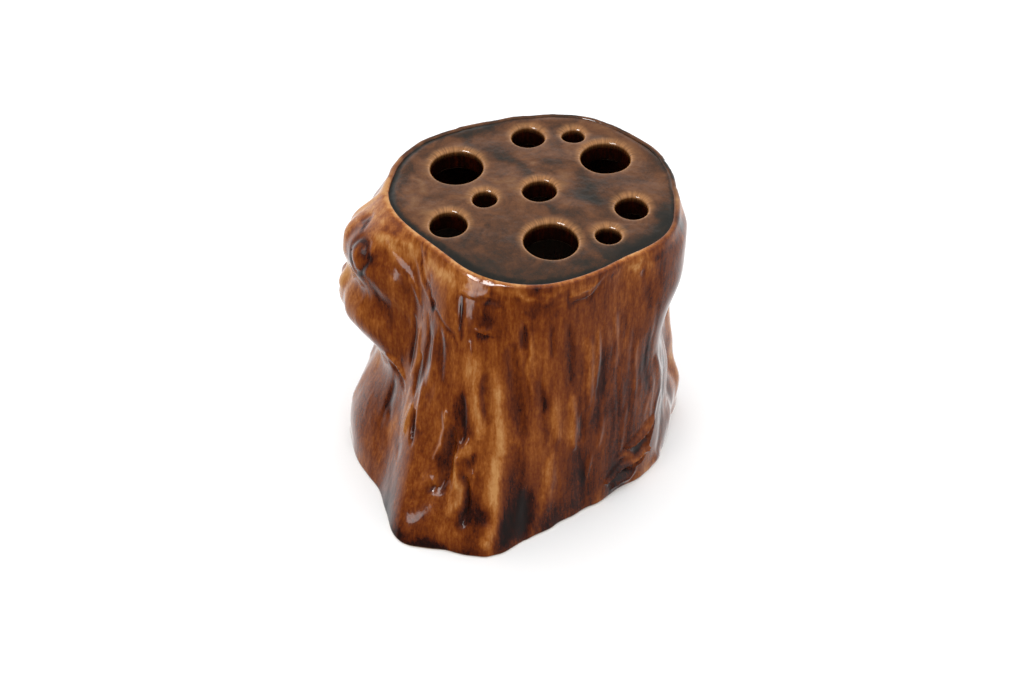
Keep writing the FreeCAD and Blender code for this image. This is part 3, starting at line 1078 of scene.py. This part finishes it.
def make_world():
    """Soft light from all round: bright behind, and dark in front below the horizon."""
    world = bpy.data.worlds.new("studio")
    bpy.context.scene.world = world
    world.use_nodes = True
    nodes, links = world.node_tree.nodes, world.node_tree.links
    coordinates = nodes.new("ShaderNodeTexCoord")
    split = nodes.new("ShaderNodeSeparateXYZ")
    links.new(coordinates.outputs["Generated"], split.inputs["Vector"])
    rise = calculate(nodes, links, "MULTIPLY_ADD", split.outputs["Z"], 0.5, 0.5)
    right = calculate(nodes, links, "MAXIMUM", split.outputs["X"], 0.0)
    depth = calculate(nodes, links, "MULTIPLY_ADD", split.outputs["Y"], 0.5, 0.5)
    depth = calculate(nodes, links, "MULTIPLY_ADD", right, BEHIND_RIGHT, depth)
    front, back, share = (
        ramp(nodes, links, value, [(place, (level, level, level)) for place, level in stops])
        for value, stops in ((rise, SKY_FRONT), (rise, SKY_BEHIND), (depth, BEHIND)))
    veil = calculate(nodes, links, "MULTIPLY", right, VEIL_RIGHT)
    front = mix_colour(nodes, links, 1.0, front, veil, "ADD")
    links.new(mix_colour(nodes, links, share, front, back), nodes["Background"].inputs["Color"])


def staged(name, points, faces, material):
    """A piece of the stage, from points in metres."""
    mesh = bpy.data.meshes.new(name)
    mesh.from_pydata(points, [], faces)
    mesh.materials.append(material)
    piece = linked(bpy.data.objects.new(name, mesh))
    return piece


def make_backdrop():
    """A plain white dome round the floor, which only the camera sees."""
    reach, turns, levels = 0.75, 48, 12
    points, faces = [], []
    for level in range(levels + 1):
        rise = math.radians(-5 + 95 * level / levels)
        wide = reach * math.cos(rise)
        for turn in range(turns):
            around = 2 * math.pi * turn / turns
            points.append((wide * math.cos(around), wide * math.sin(around), reach * math.sin(rise)))
    for level in range(levels):
        faces += strip((level + 1) * turns, level * turns, turns)
    material, _, _, shader = new_material("white_backdrop")
    shader.inputs["Base Color"].default_value = (0, 0, 0, 1)
    shader.inputs["Specular IOR Level"].default_value = 0.0
    shader.inputs["Emission Color"].default_value = (1, 1, 1, 1)
    shader.inputs["Emission Strength"].default_value = 1.0
    dome = staged("backdrop", points, faces, material)
    for kind in ("diffuse", "glossy", "transmission", "volume_scatter", "shadow"):
        setattr(dome, f"visible_{kind}", False)


def make_floor_plane():
    """A plain pale floor, which the glaze doesn't mirror."""
    size = 3.0
    corners = [(-size, -size, 0), (size, -size, 0), (size, size, 0), (-size, size, 0)]
    material, _, _, shader = new_material("paper")
    shader.inputs["Base Color"].default_value = (0.93, 0.93, 0.93, 1)
    shader.inputs["Roughness"].default_value = 0.9
    shader.inputs["Specular IOR Level"].default_value = 0.0
    staged("floor", corners, [[0, 1, 2, 3]], material).visible_glossy = False


def make_stage():
    """The floor, the backdrop, and soft light from all round and from the front left."""
    make_floor_plane()
    make_backdrop()
    make_world()
    front_left, softbox = (-0.48, -0.56, 0.63), (0.28, 0.34)
    soft_light("softbox", front_left, 0.8, softbox, 22, diffuse=False)
    soft_light("softbox_fill", front_left, 0.8, softbox, 3.5, glossy=False)
    soft_light("window", (-0.62, -0.50, 0.16), 0.9, (0.40, 0.30), 1.3, diffuse=False)
    soft_light("window_low", (-0.70, -0.70, 0.0), 0.185, (0.035, 0.11), 3.5, diffuse=False)
    soft_light("overhead", (0, 0, 1), 1.5, (2.0, 2.0), 2.2, glossy=False)
    bpy.context.scene.view_settings.view_transform = "Standard"


def main():
    smooth = smooth_wall()
    relief, tone = bark_fields()
    wall = smooth + relief
    inner = blur(smooth, 3, 6) - WALL_THICK
    trunk = make_trunk(wall, tone, inner, bark_glaze())
    lid = make_sawn_top(wall, tone, face_glaze())
    floor = make_floor(inner, bare_clay())
    for piece, node, slot in (
            (trunk, "trunk_shell", "bark_glaze"),
            (lid, "sawn_top", "face_glaze"),
            (floor, "floor_disc", "bare_clay")):
        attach(piece, "root")
        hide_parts(node)
    make_camera()
    make_stage()


main()
